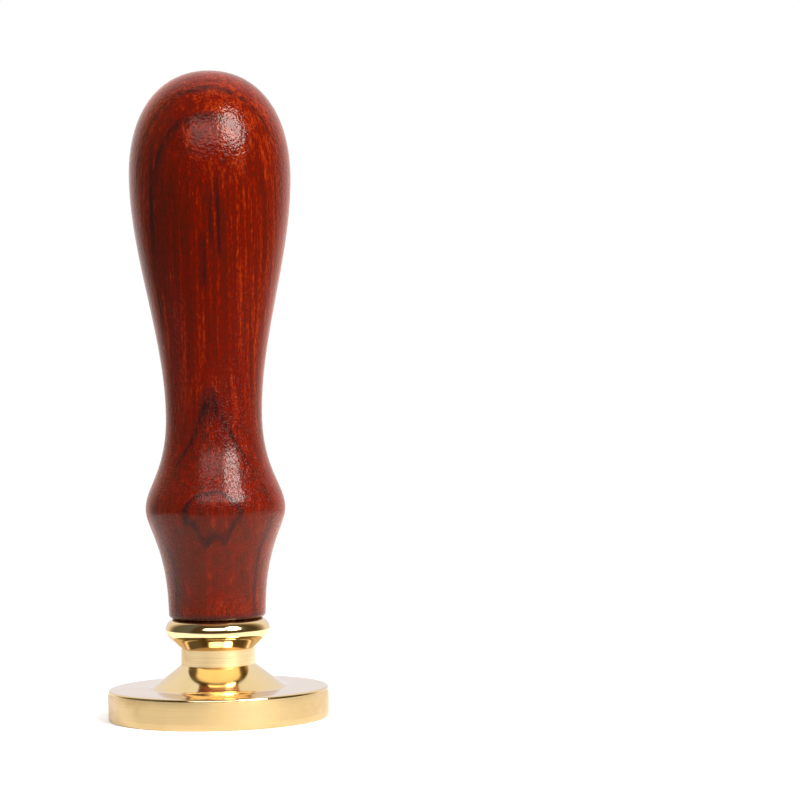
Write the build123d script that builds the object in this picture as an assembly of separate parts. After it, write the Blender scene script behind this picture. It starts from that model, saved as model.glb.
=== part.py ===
"""Wax seal stamp: a turned wooden handle on a steel stud that screws into a turned brass head.

The head's flat underside is the sealing face, and a daisy is engraved in it.
Millimetres, +Z up. The origin is the centre of the sealing face, on the turning axis.
"""

import math
import os
from dataclasses import dataclass

from build123d import *

# Brass head. Heights are measured up from the sealing face.
HEAD_HEIGHT = 13.65
DISC_RADIUS = 15.0
DISC_THICKNESS = 4.15
DISC_TOP_ROUND = 0.35
DISC_BOTTOM_ROUND = 0.25
FLARE_ANGLE = 37.5  # of the cone above the disc, from level
FLARE_FILLET = 1.5  # between the cone and the disc
NECK_RADIUS = 5.05
NECK_BOTTOM = 7.3
COLLAR_RADIUS = 7.15
COLLAR_ROUND = 1.6  # radius of the collar's bead
COLLAR_UNDERCUT = 41.0  # of the cone below the bead, from level

# Threaded hole in the head and the stud's machine end. Both are plain cylinders.
THREAD_RADIUS = 3.5
THREAD_CLEARANCE = 0.05
HOLE_DEPTH = 8.6
HOLE_MOUTH_CHAMFER = 0.5
DRILL_POINT_ANGLE = 118.0

# Steel stud. Its wood-screw end is glued in the handle.
STUD_PROJECTION = 8.0  # below the handle's foot, and so the screw's travel
STUD_TIP_CHAMFER = 0.6
LAG_RADIUS = 3.2
LAG_LENGTH = 19.0
LAG_POINT_LENGTH = 4.0
LAG_POINT_RADIUS = 0.5
GLUE_LINE = 0.05

# Wooden handle. Heights are measured up from its foot.
HANDLE_LENGTH = 74.45
GRIP_RADIUS = 11.0
GRIP_HEIGHT = 60.1
WAIST_RADIUS = 6.55
WAIST_HEIGHT = 27.55
RING_RADIUS = 9.5
RING_HEIGHT = 14.85
FOOT_RADIUS = 6.6
FOOT_ROUND = 0.55

# How far each curve of the handle's outline runs along its end tangent,
# as a share of the curve's own width or height.
CROWN_FLATNESS = 0.63
CROWN_FULLNESS = 0.594
TAPER_EASE = 1 / 3
COVE_EASE_AT_WAIST = 0.598
COVE_EASE_AT_RING = 0.244
SKIRT_EASE_AT_RING = 0.172
SKIRT_EASE_AT_FOOT = 0.63

# Daisy engraved in the sealing face. Radii are from the face's centre.
ENGRAVING_DEPTH = 0.9
WALL_ANGLE = 35.0  # of the engraved walls, from upright
LINE_WIDTH = 0.45  # of the flat-bottomed line around each petal
PETAL_PAIRS = 15
FRONT_ROOT = 3.6
FRONT_TIP = 12.35
FRONT_WIDEST = 10.0
FRONT_HALF_WIDTH = 0.94
BACK_ROOT = 3.75
BACK_TIP = 11.75
BACK_WIDEST = 9.8
BACK_HALF_WIDTH = 0.62
PETAL_SWING_DEG = 0.9  # how far front petals lean off their even places
PETAL_REACH = 0.25  # how far tips vary in and out
RIDGE_HALF_WIDTH = 0.06  # of the flat left on top of a petal too narrow for a full one
FLORET_COUNT = 17
FLORET_SPACING = 0.7
FLORET_RADIUS = 0.56
FLORET_INNER_RADIUS = 0.27
FLORET_HEIGHT = 0.8
GOLDEN_ANGLE_DEG = 137.508

# How far each curve of a petal's outline runs along its end tangent,
# as a share of the curve's own width or length.
PETAL_ROOT_ROUND = 0.4
PETAL_BELLY = 0.17
PETAL_TIP_ROUND = 0.55
PETAL_SHOULDER = 0.55


def turned(*outline):
    """Solid turned about Z from a closed outline of (radius, height) edges."""
    return revolve(Plane.XZ * make_face(outline), Axis.Z)


def head_blank():
    """The brass head before engraving, with its blind hole."""
    hole_radius = THREAD_RADIUS + THREAD_CLEARANCE
    hole_bottom = HEAD_HEIGHT - HOLE_DEPTH
    hole_tip = hole_bottom - hole_radius / math.tan(math.radians(DRILL_POINT_ANGLE / 2))
    mouth = (hole_radius + HOLE_MOUTH_CHAMFER, HEAD_HEIGHT)

    under = math.radians(COLLAR_UNDERCUT)
    bead_centre = (COLLAR_RADIUS - COLLAR_ROUND, HEAD_HEIGHT - COLLAR_ROUND)
    bead = CenterArc(bead_centre, COLLAR_ROUND, 90, COLLAR_UNDERCUT - 180)
    bead_end = (
        bead_centre[0] + COLLAR_ROUND * math.sin(under),
        bead_centre[1] - COLLAR_ROUND * math.cos(under),
    )
    neck_top = bead_end[1] - (bead_end[0] - NECK_RADIUS) * math.tan(under)

    slope = math.radians(FLARE_ANGLE)
    flare_foot = NECK_RADIUS + (NECK_BOTTOM - DISC_THICKNESS) / math.tan(slope)
    reach = FLARE_FILLET * math.tan(slope / 2)
    fillet_top = (
        flare_foot - reach * math.cos(slope),
        DISC_THICKNESS + reach * math.sin(slope),
    )
    fillet_centre = (flare_foot + reach, DISC_THICKNESS + FLARE_FILLET)
    fillet_arc = CenterArc(fillet_centre, FLARE_FILLET, 270 - FLARE_ANGLE, FLARE_ANGLE)

    top_round = CenterArc(
        (DISC_RADIUS - DISC_TOP_ROUND, DISC_THICKNESS - DISC_TOP_ROUND), DISC_TOP_ROUND, 90, -90
    )
    bottom_round = CenterArc(
        (DISC_RADIUS - DISC_BOTTOM_ROUND, DISC_BOTTOM_ROUND), DISC_BOTTOM_ROUND, 0, -90
    )
    return turned(
        Line((0, 0), (0, hole_tip)),
        Line((0, hole_tip), (hole_radius, hole_bottom)),
        Line((hole_radius, hole_bottom), (hole_radius, HEAD_HEIGHT - HOLE_MOUTH_CHAMFER)),
        Line((hole_radius, HEAD_HEIGHT - HOLE_MOUTH_CHAMFER), mouth),
        Line(mouth, bead @ 0),
        bead,
        Line(bead @ 1, (NECK_RADIUS, neck_top)),
        Line((NECK_RADIUS, neck_top), (NECK_RADIUS, NECK_BOTTOM)),
        Line((NECK_RADIUS, NECK_BOTTOM), fillet_top),
        fillet_arc,
        Line(fillet_arc @ 1, top_round @ 0),
        top_round,
        Line(top_round @ 1, bottom_round @ 0),
        bottom_round,
        Line(bottom_round @ 1, (0, 0)),
    )


@dataclass(frozen=True)
class Petal:
    """Petal outline along +X, narrow and round at the root, broad and round at the tip."""

    turn: float
    root: float
    widest: float
    half_width: float
    tip: float

    def grown(self, by):
        """The same petal with its outline moved outwards."""
        return Petal(self.turn, self.root - by, self.widest, self.half_width + by, self.tip + by)

    def face(self, level):
        """The petal's flat face at a height, turned to its place."""
        belly = self.widest - (self.widest - self.root) * PETAL_BELLY
        shoulder = self.widest + (self.tip - self.widest) * PETAL_SHOULDER
        edges = []
        for half in (self.half_width, -self.half_width):
            edges.append(
                Bezier(
                    (self.root, 0),
                    (self.root, half * PETAL_ROOT_ROUND),
                    (belly, half),
                    (self.widest, half),
                )
            )
            edges.append(
                Bezier(
                    (self.widest, half),
                    (shoulder, half),
                    (self.tip, half * PETAL_TIP_ROUND),
                    (self.tip, 0),
                )
            )
        return Rot(0, 0, self.turn) * Pos(0, 0, level) * make_face(edges)


def daisy():
    """Every petal of the daisy: broad front ones, with a narrow back one in each gap."""
    step = 360 / PETAL_PAIRS
    petals = []
    for i in range(PETAL_PAIRS):
        swing = math.radians(GOLDEN_ANGLE_DEG * i)
        lean = PETAL_SWING_DEG * math.sin(swing)
        reach = PETAL_REACH * math.cos(2 * swing)
        front_turn = i * step + lean
        back_turn = (i + 0.5) * step
        petals.append(
            Petal(front_turn, FRONT_ROOT, FRONT_WIDEST, FRONT_HALF_WIDTH, FRONT_TIP + reach)
        )
        petals.append(Petal(back_turn, BACK_ROOT, BACK_WIDEST, BACK_HALF_WIDTH, BACK_TIP - reach))
    return petals


def petal_pocket(petal, wall):
    """Space cut for a petal and the line around it, widening towards the sealing face."""
    floor = petal.grown(LINE_WIDTH).face(ENGRAVING_DEPTH)
    mouth = petal.grown(LINE_WIDTH + wall).face(0)
    return loft([floor, mouth], ruled=True)


def petal_island(petal, wall):
    """Brass left standing inside a petal's line: flat on top, or a ridge if the petal is narrow."""
    top_half = max(petal.half_width - wall, RIDGE_HALF_WIDTH)
    inset = petal.half_width - top_half
    slimness = (petal.widest - petal.root) / petal.half_width
    top_root = petal.root + inset * slimness / 2
    top = Petal(petal.turn, top_root, petal.widest, top_half, petal.tip - inset)
    top_level = ENGRAVING_DEPTH * (1 - inset / wall)
    return loft([petal.face(ENGRAVING_DEPTH), top.face(top_level)], ruled=True)


def floret(i):
    """Small five-pointed pyramid in the daisy's eye, one of a spiral."""
    out = FLORET_SPACING * math.sqrt(i + 0.5)
    corners = []
    for k in range(10):
        radius = FLORET_INNER_RADIUS if k % 2 else FLORET_RADIUS
        turn = math.radians(36 * k)
        corners.append((radius * math.cos(turn), radius * math.sin(turn)))
    base = Pos(0, 0, ENGRAVING_DEPTH) * make_face(Polyline(*corners, close=True))
    apex = Vertex(0, 0, ENGRAVING_DEPTH - FLORET_HEIGHT)
    return Rot(0, 0, GOLDEN_ANGLE_DEG * i) * Pos(out, 0, 0) * loft([base, apex], ruled=True)


def make_head():
    """The brass head with its engraved sealing face."""
    wall = ENGRAVING_DEPTH * math.tan(math.radians(WALL_ANGLE))
    petals = daisy()
    middle = Cylinder(min(FRONT_WIDEST, BACK_WIDEST), ENGRAVING_DEPTH)
    pockets = [Pos(0, 0, ENGRAVING_DEPTH / 2) * middle]
    pockets += [petal_pocket(petal, wall) for petal in petals]
    islands = [petal_island(petal, wall) for petal in petals]
    florets = [floret(i) for i in range(FLORET_COUNT)]
    return head_blank() - pockets + islands + florets


def stud_solid(grow):
    """The stud, or the space it takes when every side of its wood-screw end grows."""
    tip = HEAD_HEIGHT - STUD_PROJECTION
    lag_end = HEAD_HEIGHT + LAG_LENGTH + grow
    point_start = lag_end - LAG_POINT_LENGTH
    outline = [
        (0, tip),
        (THREAD_RADIUS - STUD_TIP_CHAMFER, tip),
        (THREAD_RADIUS, tip + STUD_TIP_CHAMFER),
        (THREAD_RADIUS, HEAD_HEIGHT),
        (LAG_RADIUS + grow, HEAD_HEIGHT),
        (LAG_RADIUS + grow, point_start),
        (LAG_POINT_RADIUS + grow, lag_end),
        (0, lag_end),
    ]
    return turned(Polyline(*outline, close=True))


def make_handle():
    """The wooden handle, with the hole that the stud is glued in."""
    foot = HEAD_HEIGHT
    crown = foot + HANDLE_LENGTH
    grip = foot + GRIP_HEIGHT
    waist = foot + WAIST_HEIGHT
    ring = foot + RING_HEIGHT
    heel = foot + FOOT_ROUND
    dome = Bezier(
        (0, crown),
        (GRIP_RADIUS * CROWN_FLATNESS, crown),
        (GRIP_RADIUS, grip + (crown - grip) * CROWN_FULLNESS),
        (GRIP_RADIUS, grip),
    )
    taper = Bezier(
        (GRIP_RADIUS, grip),
        (GRIP_RADIUS, grip - (grip - waist) * TAPER_EASE),
        (WAIST_RADIUS, waist + (grip - waist) * TAPER_EASE),
        (WAIST_RADIUS, waist),
    )
    cove = Bezier(
        (WAIST_RADIUS, waist),
        (WAIST_RADIUS, waist - (waist - ring) * COVE_EASE_AT_WAIST),
        (RING_RADIUS, ring + (waist - ring) * COVE_EASE_AT_RING),
        (RING_RADIUS, ring),
    )
    skirt = Bezier(
        (RING_RADIUS, ring),
        (RING_RADIUS, ring - (ring - heel) * SKIRT_EASE_AT_RING),
        (FOOT_RADIUS, heel + (ring - heel) * SKIRT_EASE_AT_FOOT),
        (FOOT_RADIUS, heel),
    )
    foot_round = CenterArc((FOOT_RADIUS - FOOT_ROUND, heel), FOOT_ROUND, 0, -90)
    body = turned(
        dome,
        taper,
        cove,
        skirt,
        foot_round,
        Line(foot_round @ 1, (0, foot)),
        Line((0, foot), (0, crown)),
    )
    return body - stud_solid(GLUE_LINE)


def main():
    os.makedirs("parts", exist_ok=True)
    export_step(make_head(), "parts/head.step")
    export_step(stud_solid(0), "parts/stud.step")
    export_step(make_handle(), "parts/handle.step")


main()
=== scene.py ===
"""Wax seal stamp, dressed: a lacquered wooden handle on a threaded steel stud in a brass head.

Sizes repeat the part's own and are in millimetres. Meshes are written in metres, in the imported
frame: +Z up the turning axis, with the origin at the centre of the sealing face.
"""

import logging
import math
from dataclasses import dataclass
from enum import Enum
from typing import Any, Dict, List, Optional, Sequence, Tuple, Union

import bpy
import numpy as np
from mathutils import Matrix


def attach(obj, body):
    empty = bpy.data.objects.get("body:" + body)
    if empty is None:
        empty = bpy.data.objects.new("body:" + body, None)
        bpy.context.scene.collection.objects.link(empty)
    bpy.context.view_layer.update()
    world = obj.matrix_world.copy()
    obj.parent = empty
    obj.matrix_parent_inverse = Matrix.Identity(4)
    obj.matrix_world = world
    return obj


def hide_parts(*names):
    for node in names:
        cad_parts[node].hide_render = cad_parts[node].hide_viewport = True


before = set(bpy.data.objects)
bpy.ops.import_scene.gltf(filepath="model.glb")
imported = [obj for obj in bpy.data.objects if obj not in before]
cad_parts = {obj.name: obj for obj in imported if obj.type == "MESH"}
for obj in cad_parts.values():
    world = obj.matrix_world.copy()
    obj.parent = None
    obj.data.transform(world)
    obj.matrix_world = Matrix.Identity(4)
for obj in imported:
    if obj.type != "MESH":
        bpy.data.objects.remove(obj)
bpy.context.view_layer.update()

LOG = logging.getLogger("wax_seal_stamp")
MM = 0.001
MICROMETRE = 1e-6
GOLDEN_ANGLE = math.radians(137.508)
RUN_OUT_TURNS = 1 / 3
LEAST_SECTION = 0.02

Colour = Tuple[float, float, float, float]
Pair = Tuple[float, float]
Term = Union["Value", int, float]
Tint = Union["Value", Colour]

WHITE: Colour = (1.0, 1.0, 1.0, 1.0)
BLACK: Colour = (0.0, 0.0, 0.0, 1.0)


# Surfaces


@dataclass
class Skin:
    """Points and faces of one surface, in millimetres.

    A face is a row of four point numbers, and a triangle has -1 in its last place.
    """

    points: np.ndarray
    faces: np.ndarray
    finish: np.ndarray

    @staticmethod
    def joined(skins: Sequence["Skin"]) -> "Skin":
        """Put several surfaces in one.

        Args:
            skins: Surfaces to join, whose faces are numbered from zero in each.

        Returns:
            One surface with every point and face of them all.
        """
        starts = np.cumsum([0] + [len(skin.points) for skin in skins])
        faces = [np.where(skin.faces < 0, -1, skin.faces + start) for skin, start in zip(skins, starts)]
        return Skin(
            np.concatenate([skin.points for skin in skins]),
            np.concatenate(faces),
            np.concatenate([skin.finish for skin in skins]),
        )

    def to_object(
        self, name: str, materials: Sequence[bpy.types.Material], crease_deg: float
    ) -> bpy.types.Object:
        """Make a Blender object of the surface, at the origin.

        Args:
            name: Name of the object and its mesh.
            materials: Material of each finish number.
            crease_deg: Edges that turn by more than this stay sharp.

        Returns:
            The object, linked into the scene.
        """
        used = self.faces >= 0
        totals = used.sum(axis=1)
        corners = self.faces[used]
        mesh = bpy.data.meshes.new(name)
        mesh.vertices.add(len(self.points))
        mesh.vertices.foreach_set("co", (self.points * MM).astype(np.float32).ravel())
        mesh.loops.add(len(corners))
        mesh.loops.foreach_set("vertex_index", corners.astype(np.int32))
        mesh.polygons.add(len(self.faces))
        mesh.polygons.foreach_set("loop_start", (np.cumsum(totals) - totals).astype(np.int32))
        mesh.polygons.foreach_set("material_index", self.finish.astype(np.int32))
        mesh.polygons.foreach_set("use_smooth", np.ones(len(self.faces), dtype=bool))
        for material in materials:
            mesh.materials.append(material)
        mesh.update(calc_edges=True)
        mesh.validate()
        mesh.set_sharp_from_angle(angle=math.radians(crease_deg))
        piece = bpy.data.objects.new(name, mesh)
        bpy.context.scene.collection.objects.link(piece)
        return piece


def cubic_points(ends: Sequence[Any], count: int) -> np.ndarray:
    """Points on a cubic curve with four control points.

    At share t of the way the points weigh (1 - t)^3, 3 t (1 - t)^2, 3 t^2 (1 - t) and t^3.

    Args:
        ends: Four control points, each of shape (..., 2), so many curves can be worked out at once.
        count: Number of points, from the first end to the last.

    Returns:
        Points of shape (..., count, 2).
    """
    t = np.linspace(0, 1, count)[:, None]
    a, b, c, d = (np.asarray(end, dtype=float)[..., None, :] for end in ends)
    return (1 - t) ** 3 * a + 3 * t * (1 - t) ** 2 * b + 3 * t**2 * (1 - t) * c + t**3 * d


def arc_points(centre: Pair, radius: float, start: float, sweep: float, count: int) -> np.ndarray:
    """Points on a circular arc: the centre plus the radius at evenly spaced angles.

    Args:
        centre: Centre as (radius, height).
        radius: Radius of the arc.
        start: First angle in degrees.
        sweep: Angle covered, in degrees.
        count: Number of points.

    Returns:
        Points of shape (count, 2).
    """
    angle = np.radians(start + sweep * np.linspace(0, 1, count))
    return np.stack([centre[0] + radius * np.cos(angle), centre[1] + radius * np.sin(angle)], axis=1)


def line_points(start: Pair, end: Pair, count: int) -> np.ndarray:
    """Evenly spaced points on a straight line.

    Args:
        start: First point as (radius, height).
        end: Last point.
        count: Number of points.

    Returns:
        Points of shape (count, 2).
    """
    return np.linspace(np.asarray(start, dtype=float), np.asarray(end, dtype=float), count)


class Outline:
    """Outline of a turned piece, from axis to axis with the solid on its left, cut by cut."""

    def __init__(self) -> None:
        """Start with no points."""
        self.points: List[np.ndarray] = []
        self.finish: List[int] = []

    def cut(self, points: np.ndarray, finish: int = 0) -> "Outline":
        """Add one cut of the tool, from the last cut's end.

        Args:
            points: Points of shape (n, 2) as (radius, height).
            finish: Finish number of the cut's bands.

        Returns:
            The outline itself, so that cuts can be chained.
        """
        fresh = points[1:] if self.points else points
        self.points.append(fresh)
        self.finish += [finish] * (len(points) - 1)
        return self

    def rings(self, turns: int) -> Tuple[np.ndarray, np.ndarray]:
        """Radius and height of every ring, the same at each of so many angles."""
        points = np.concatenate(self.points)
        return np.repeat(points[:, :1], turns, axis=1), np.repeat(points[:, 1:], turns, axis=1)


def turned_skin(radius: np.ndarray, height: np.ndarray, finish: Sequence[int]) -> Skin:
    """Surface turned about Z whose radius and height may also change with the angle.

    Point (i, j) is (R cos t, R sin t, Z) with R and Z from row i and t = 2 pi j / n. The first and
    last rows have no radius, so each becomes one point with a fan of triangles.

    Args:
        radius: Radii of shape (rings, n).
        height: Heights of the same shape.
        finish: Finish number of each band between two rings.

    Returns:
        The closed surface, facing away from the solid.
    """
    rings, turns = radius.shape
    angle = 2 * np.pi * np.arange(turns) / turns
    points = np.stack([radius * np.cos(angle), radius * np.sin(angle), height], axis=-1).reshape(-1, 3)
    place = np.arange(rings * turns).reshape(rings, turns)
    place[0], place[-1] = place[0, 0], place[-1, -1]
    after = np.roll(place, -1, axis=1)
    quads = np.stack([place[:-1], after[:-1], after[1:], place[1:]], axis=-1)
    none = np.full(turns, -1)
    quads[0] = np.stack([place[0], after[1], place[1], none], axis=-1)
    quads[-1] = np.stack([place[-2], after[-2], place[-1], none], axis=-1)
    keep = np.concatenate([[0], np.arange(turns, (rings - 1) * turns), [rings * turns - 1]])
    number = np.full(rings * turns, -1)
    number[keep] = np.arange(len(keep))
    faces = np.where(quads < 0, -1, number[quads]).reshape(-1, 4)
    return Skin(points[keep], faces, np.repeat(np.asarray(finish), turns))


def helix_skin(
    section: np.ndarray,
    pitch: float,
    start: float,
    end: float,
    per_turn: int,
    phase: float,
    finish: int,
) -> Skin:
    """Ridge of a screw thread: a closed section carried up a helix about Z.

    Point (i, j) is (r cos t, r sin t, h + pitch t / 2 pi) for section point j = (r, h) at angle t.
    The section shrinks to its outer side over the first and last third of a turn, where a thread
    runs out.

    Args:
        section: Section points of shape (k, 2) as (radius, height), going round once.
        pitch: Rise in one turn.
        start: Height where the ridge starts.
        end: Height where it ends.
        per_turn: Steps in one turn.
        phase: Share of a turn by which the helix is turned on.
        finish: Finish number.

    Returns:
        The closed ridge.
    """
    turns = (end - start) / pitch
    step = np.linspace(0, turns, int(turns * per_turn) + 1)[:, None]
    angle = 2 * np.pi * (step + start / pitch + phase)
    run_out = np.clip(np.minimum(step, turns - step) / RUN_OUT_TURNS, LEAST_SECTION, 1)
    outer = section[:, 0].max()
    radius = outer + (section[:, 0] - outer) * run_out
    height = start + step * pitch + section[:, 1] * run_out
    points = np.stack([radius * np.cos(angle), radius * np.sin(angle), height], axis=-1)
    count, sides = points.shape[:2]
    place = np.arange(count * sides).reshape(count, sides)
    after = np.roll(place, -1, axis=1)
    quads = np.stack([place[:-1], place[1:], after[1:], after[:-1]], axis=-1).reshape(-1, 4)
    lids = np.stack([place[0], place[-1][::-1]])
    faces = np.concatenate([quads, lids])
    return Skin(points.reshape(-1, 3), faces, np.full(len(faces), finish))


# Node trees


class Value:
    """One output of a node, which answers to arithmetic by adding Math nodes."""

    def __init__(self, graph: "Graph", node: bpy.types.Node, output: Union[int, str] = 0) -> None:
        """Wrap one output.

        Args:
            graph: Graph that the node is in.
            node: The node.
            output: Number or name of the output that the value stands for.
        """
        self.graph = graph
        self.node = node
        self.output = output

    @property
    def socket(self) -> bpy.types.NodeSocket:
        """The wrapped output socket."""
        return self.node.outputs[self.output]

    def out(self, output: Union[int, str]) -> "Value":
        """Another output of the same node."""
        return Value(self.graph, self.node, output)

    def __add__(self, other: Term) -> "Value":
        """Sum."""
        return self.graph.math("ADD", self, other)

    __radd__ = __add__

    def __sub__(self, other: Term) -> "Value":
        """Difference."""
        return self.graph.math("SUBTRACT", self, other)

    def __rsub__(self, other: Term) -> "Value":
        """Difference from a number on the left."""
        return self.graph.math("SUBTRACT", other, self)

    def __mul__(self, other: Term) -> "Value":
        """Product."""
        return self.graph.math("MULTIPLY", self, other)

    __rmul__ = __mul__

    def __truediv__(self, other: Term) -> "Value":
        """Quotient."""
        return self.graph.math("DIVIDE", self, other)

    def __rtruediv__(self, other: Term) -> "Value":
        """Quotient of a number on the left."""
        return self.graph.math("DIVIDE", other, self)

    def __neg__(self) -> "Value":
        """Negative."""
        return self.graph.math("MULTIPLY", self, -1)

    def ramp(self, low: float, high: float) -> "Value":
        """Smooth step between two values: 3 t^2 - 2 t^3 of the share t of the way from low to high.

        Args:
            low: Value at which the step is 0.
            high: Value at which it is 1, which may also be the lower of the two.

        Returns:
            The step, from 0 to 1.
        """
        if low > high:
            return 1 - self.ramp(high, low)
        settings = {"interpolation_type": "SMOOTHSTEP"}
        return self.graph.add("ShaderNodeMapRange", settings, {0: self, 1: low, 2: high, 3: 0.0, 4: 1.0})

    def scaled(self, factors: Sequence[float]) -> "Value":
        """A vector times one factor for each axis."""
        return self.graph.add("ShaderNodeVectorMath", {"operation": "MULTIPLY"}, {0: self, 1: factors})

    def moved(self, offset: Sequence[float]) -> "Value":
        """A vector plus a fixed one."""
        return self.graph.add("ShaderNodeVectorMath", {"operation": "ADD"}, {0: self, 1: offset})

    def split(self) -> Tuple["Value", "Value", "Value"]:
        """The X, Y and Z of a vector."""
        parts = self.graph.add("ShaderNodeSeparateXYZ", {}, {0: self})
        return parts.out("X"), parts.out("Y"), parts.out("Z")


class Graph:
    """Node tree of one material or world."""

    def __init__(self, tree: bpy.types.NodeTree) -> None:
        """Clear a node tree and keep it."""
        tree.nodes.clear()
        self.tree = tree

    def add(
        self,
        kind: str,
        settings: Optional[Dict[str, Any]] = None,
        sockets: Optional[Dict[Union[int, str], Any]] = None,
        output: Union[int, str] = 0,
    ) -> Value:
        """Add one node.

        Args:
            kind: Type of the node.
            settings: Its own settings, set first. "stops" are a colour ramp's (place, colour) pairs.
            sockets: Values or links of its inputs, by number or name.
            output: Output that the returned value stands for.

        Returns:
            The node's output, ready for arithmetic.
        """
        node = self.tree.nodes.new(kind)
        for key, setting in (settings or {}).items():
            if key == "stops":
                elements = node.color_ramp.elements
                while len(elements) < len(setting):
                    elements.new(1.0)
                for element, (place, colour) in zip(elements, setting):
                    element.position, element.color = place, colour
            else:
                setattr(node, key, setting)
        for key, value in (sockets or {}).items():
            if isinstance(value, Value):
                self.tree.links.new(value.socket, node.inputs[key])
            else:
                node.inputs[key].default_value = value
        return Value(self, node, output)

    def math(self, operation: str, *terms: Term) -> Value:
        """One Math node on the given terms."""
        return self.add("ShaderNodeMath", {"operation": operation}, dict(enumerate(terms)))

    def from_axis(self, x: Value, y: Value) -> Value:
        """Distance from the Z axis."""
        return self.math("SQRT", x * x + y * y)

    def number(self, value: float) -> Value:
        """Add a fixed number.

        Args:
            value: The number.

        Returns:
            The number as a node's output.
        """
        node = self.add("ShaderNodeValue")
        node.socket.default_value = value
        return node

    def millimetres(self) -> Value:
        """The piece's own coordinates, in millimetres."""
        place = self.add("ShaderNodeTexCoord", output="Object")
        return place.scaled((1 / MM, 1 / MM, 1 / MM))

    def noise(self, place: Value, scale: Sequence[float], detail: float, roughness: float = 0.5) -> Value:
        """Noise from 0 to 1, with so many waves to the millimetre on each axis.

        Args:
            place: Point in millimetres.
            scale: Waves to the millimetre along X, Y and Z.
            detail: How many finer octaves are added.
            roughness: Share of each finer octave.

        Returns:
            The noise, about 0.5 in the mean.
        """
        sockets = {"Vector": place.scaled(scale), "Scale": 1.0, "Detail": detail, "Roughness": roughness}
        return self.add("ShaderNodeTexNoise", {}, sockets)

    def swing(self, place: Value, scale: Sequence[float], detail: float, roughness: float = 0.5) -> Value:
        """The same noise, less its mean, so that it swings to both sides of 0."""
        return self.noise(place, scale, detail, roughness) - 0.5

    def lines(self, along: Value, per_mm: float, detail: float) -> Value:
        """Noise from 0 to 1 that changes along one value only, so it draws lines.

        Args:
            along: Value in millimetres.
            per_mm: Lines to the millimetre.
            detail: How many finer octaves are added.

        Returns:
            The noise, about 0.5 in the mean.
        """
        sockets = {"W": along, "Scale": per_mm, "Detail": detail}
        return self.add("ShaderNodeTexNoise", {"noise_dimensions": "1D"}, sockets)

    def mix(self, share: Term, first: Tint, second: Tint) -> Value:
        """Blend of two colours.

        Args:
            share: Share of the second colour.
            first: Colour at share 0.
            second: Colour at share 1.

        Returns:
            The blended colour.
        """
        settings = {"data_type": "RGBA", "clamp_factor": True}
        return self.add("ShaderNodeMix", settings, {0: share, 6: first, 7: second}, output=2)

    def bump(self, height: Value) -> Value:
        """Normal of a surface raised by a height in micrometres."""
        sockets = {"Strength": 1.0, "Distance": 1.0, "Height": height * MICROMETRE}
        return self.add("ShaderNodeBump", {}, sockets, output="Normal")

    def surface(self, sockets: Dict[str, Any]) -> None:
        """Finish a material with a Principled shader of these sockets."""
        shader = self.add("ShaderNodeBsdfPrincipled", {}, sockets)
        self.add("ShaderNodeOutputMaterial", {}, {"Surface": shader})


def new_material(name: str) -> Tuple[bpy.types.Material, Graph]:
    """Add an empty material.

    Args:
        name: Name of the material.

    Returns:
        The material and its graph.
    """
    material = bpy.data.materials.new(name)
    material.use_nodes = True
    return material, Graph(material.node_tree)


# Finishes


@dataclass(frozen=True)
class LacqueredWood:
    """Red-brown hardwood, cut flat to its growth layers, under glossy lacquer.

    Growth layers face the front. They lean back a little at the waist and by the taper's own slope
    above it, so they show as arches on the dome, as a pointed figure above the ring, and as streaks
    along the grain elsewhere. A layer is given by the depth at its end, and a streak by its place
    across and the heights of its ends.
    """

    layers: Tuple[float, ...] = (-9.95, -6.45, -2.35, 0.65, 5.6, 9.4, 13.2)
    layer_margin: float = 20.0
    streaks: Tuple[Tuple[float, float, float], ...] = (
        (1.9, 62.5, 73.0),
        (0.9, 64.0, 70.5),
        (-0.2, 58.5, 65.0),
        (-7.1, 60.0, 77.0),
        (0.5, 40.5, 45.0),
    )
    streak_fade: float = 1.5
    lean: float = 0.037
    waist: float = 41.2
    waist_tilt: float = 0.10
    bend_start: float = 44.0
    taper_tilt: float = 0.19
    tooth_middle: float = 0.53
    tooth_rate: float = 2.152
    tooth_height: float = 0.22
    foot: float = 13.65
    orange_red: Colour = (0.268, 0.0250, 0.0021, 1.0)
    red: Colour = (0.117, 0.0034, 0.0006, 1.0)
    brown: Colour = (0.058, 0.0052, 0.0020, 1.0)
    amber: Colour = (0.095, 0.0125, 0.0025, 1.0)
    late_wood: Colour = (0.016, 0.004, 0.004, 1.0)
    glare: Colour = (1.0, 0.88, 0.80, 1.0)
    edge_glow: Colour = (1.0, 0.27, 0.10, 1.0)
    gloss: float = 0.10
    refraction: float = 1.5
    specular: float = 0.17
    sheen: float = 0.30
    sheen_roughness: float = 0.42

    def material(self) -> bpy.types.Material:
        """Build the material: the figure's colours under lacquer.

        Returns:
            The material.
        """
        material, graph = new_material("lacquered_wood")
        figure = WoodFigure(self, graph)
        roughness, height = figure.lacquer()
        graph.surface(
            {
                "Base Color": figure.colour(),
                "Roughness": roughness,
                "IOR": self.refraction,
                "Specular IOR Level": self.specular,
                "Specular Tint": self.glare,
                "Sheen Weight": self.sheen,
                "Sheen Roughness": self.sheen_roughness,
                "Sheen Tint": self.edge_glow,
                "Normal": graph.bump(height),
            }
        )
        return material


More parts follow.
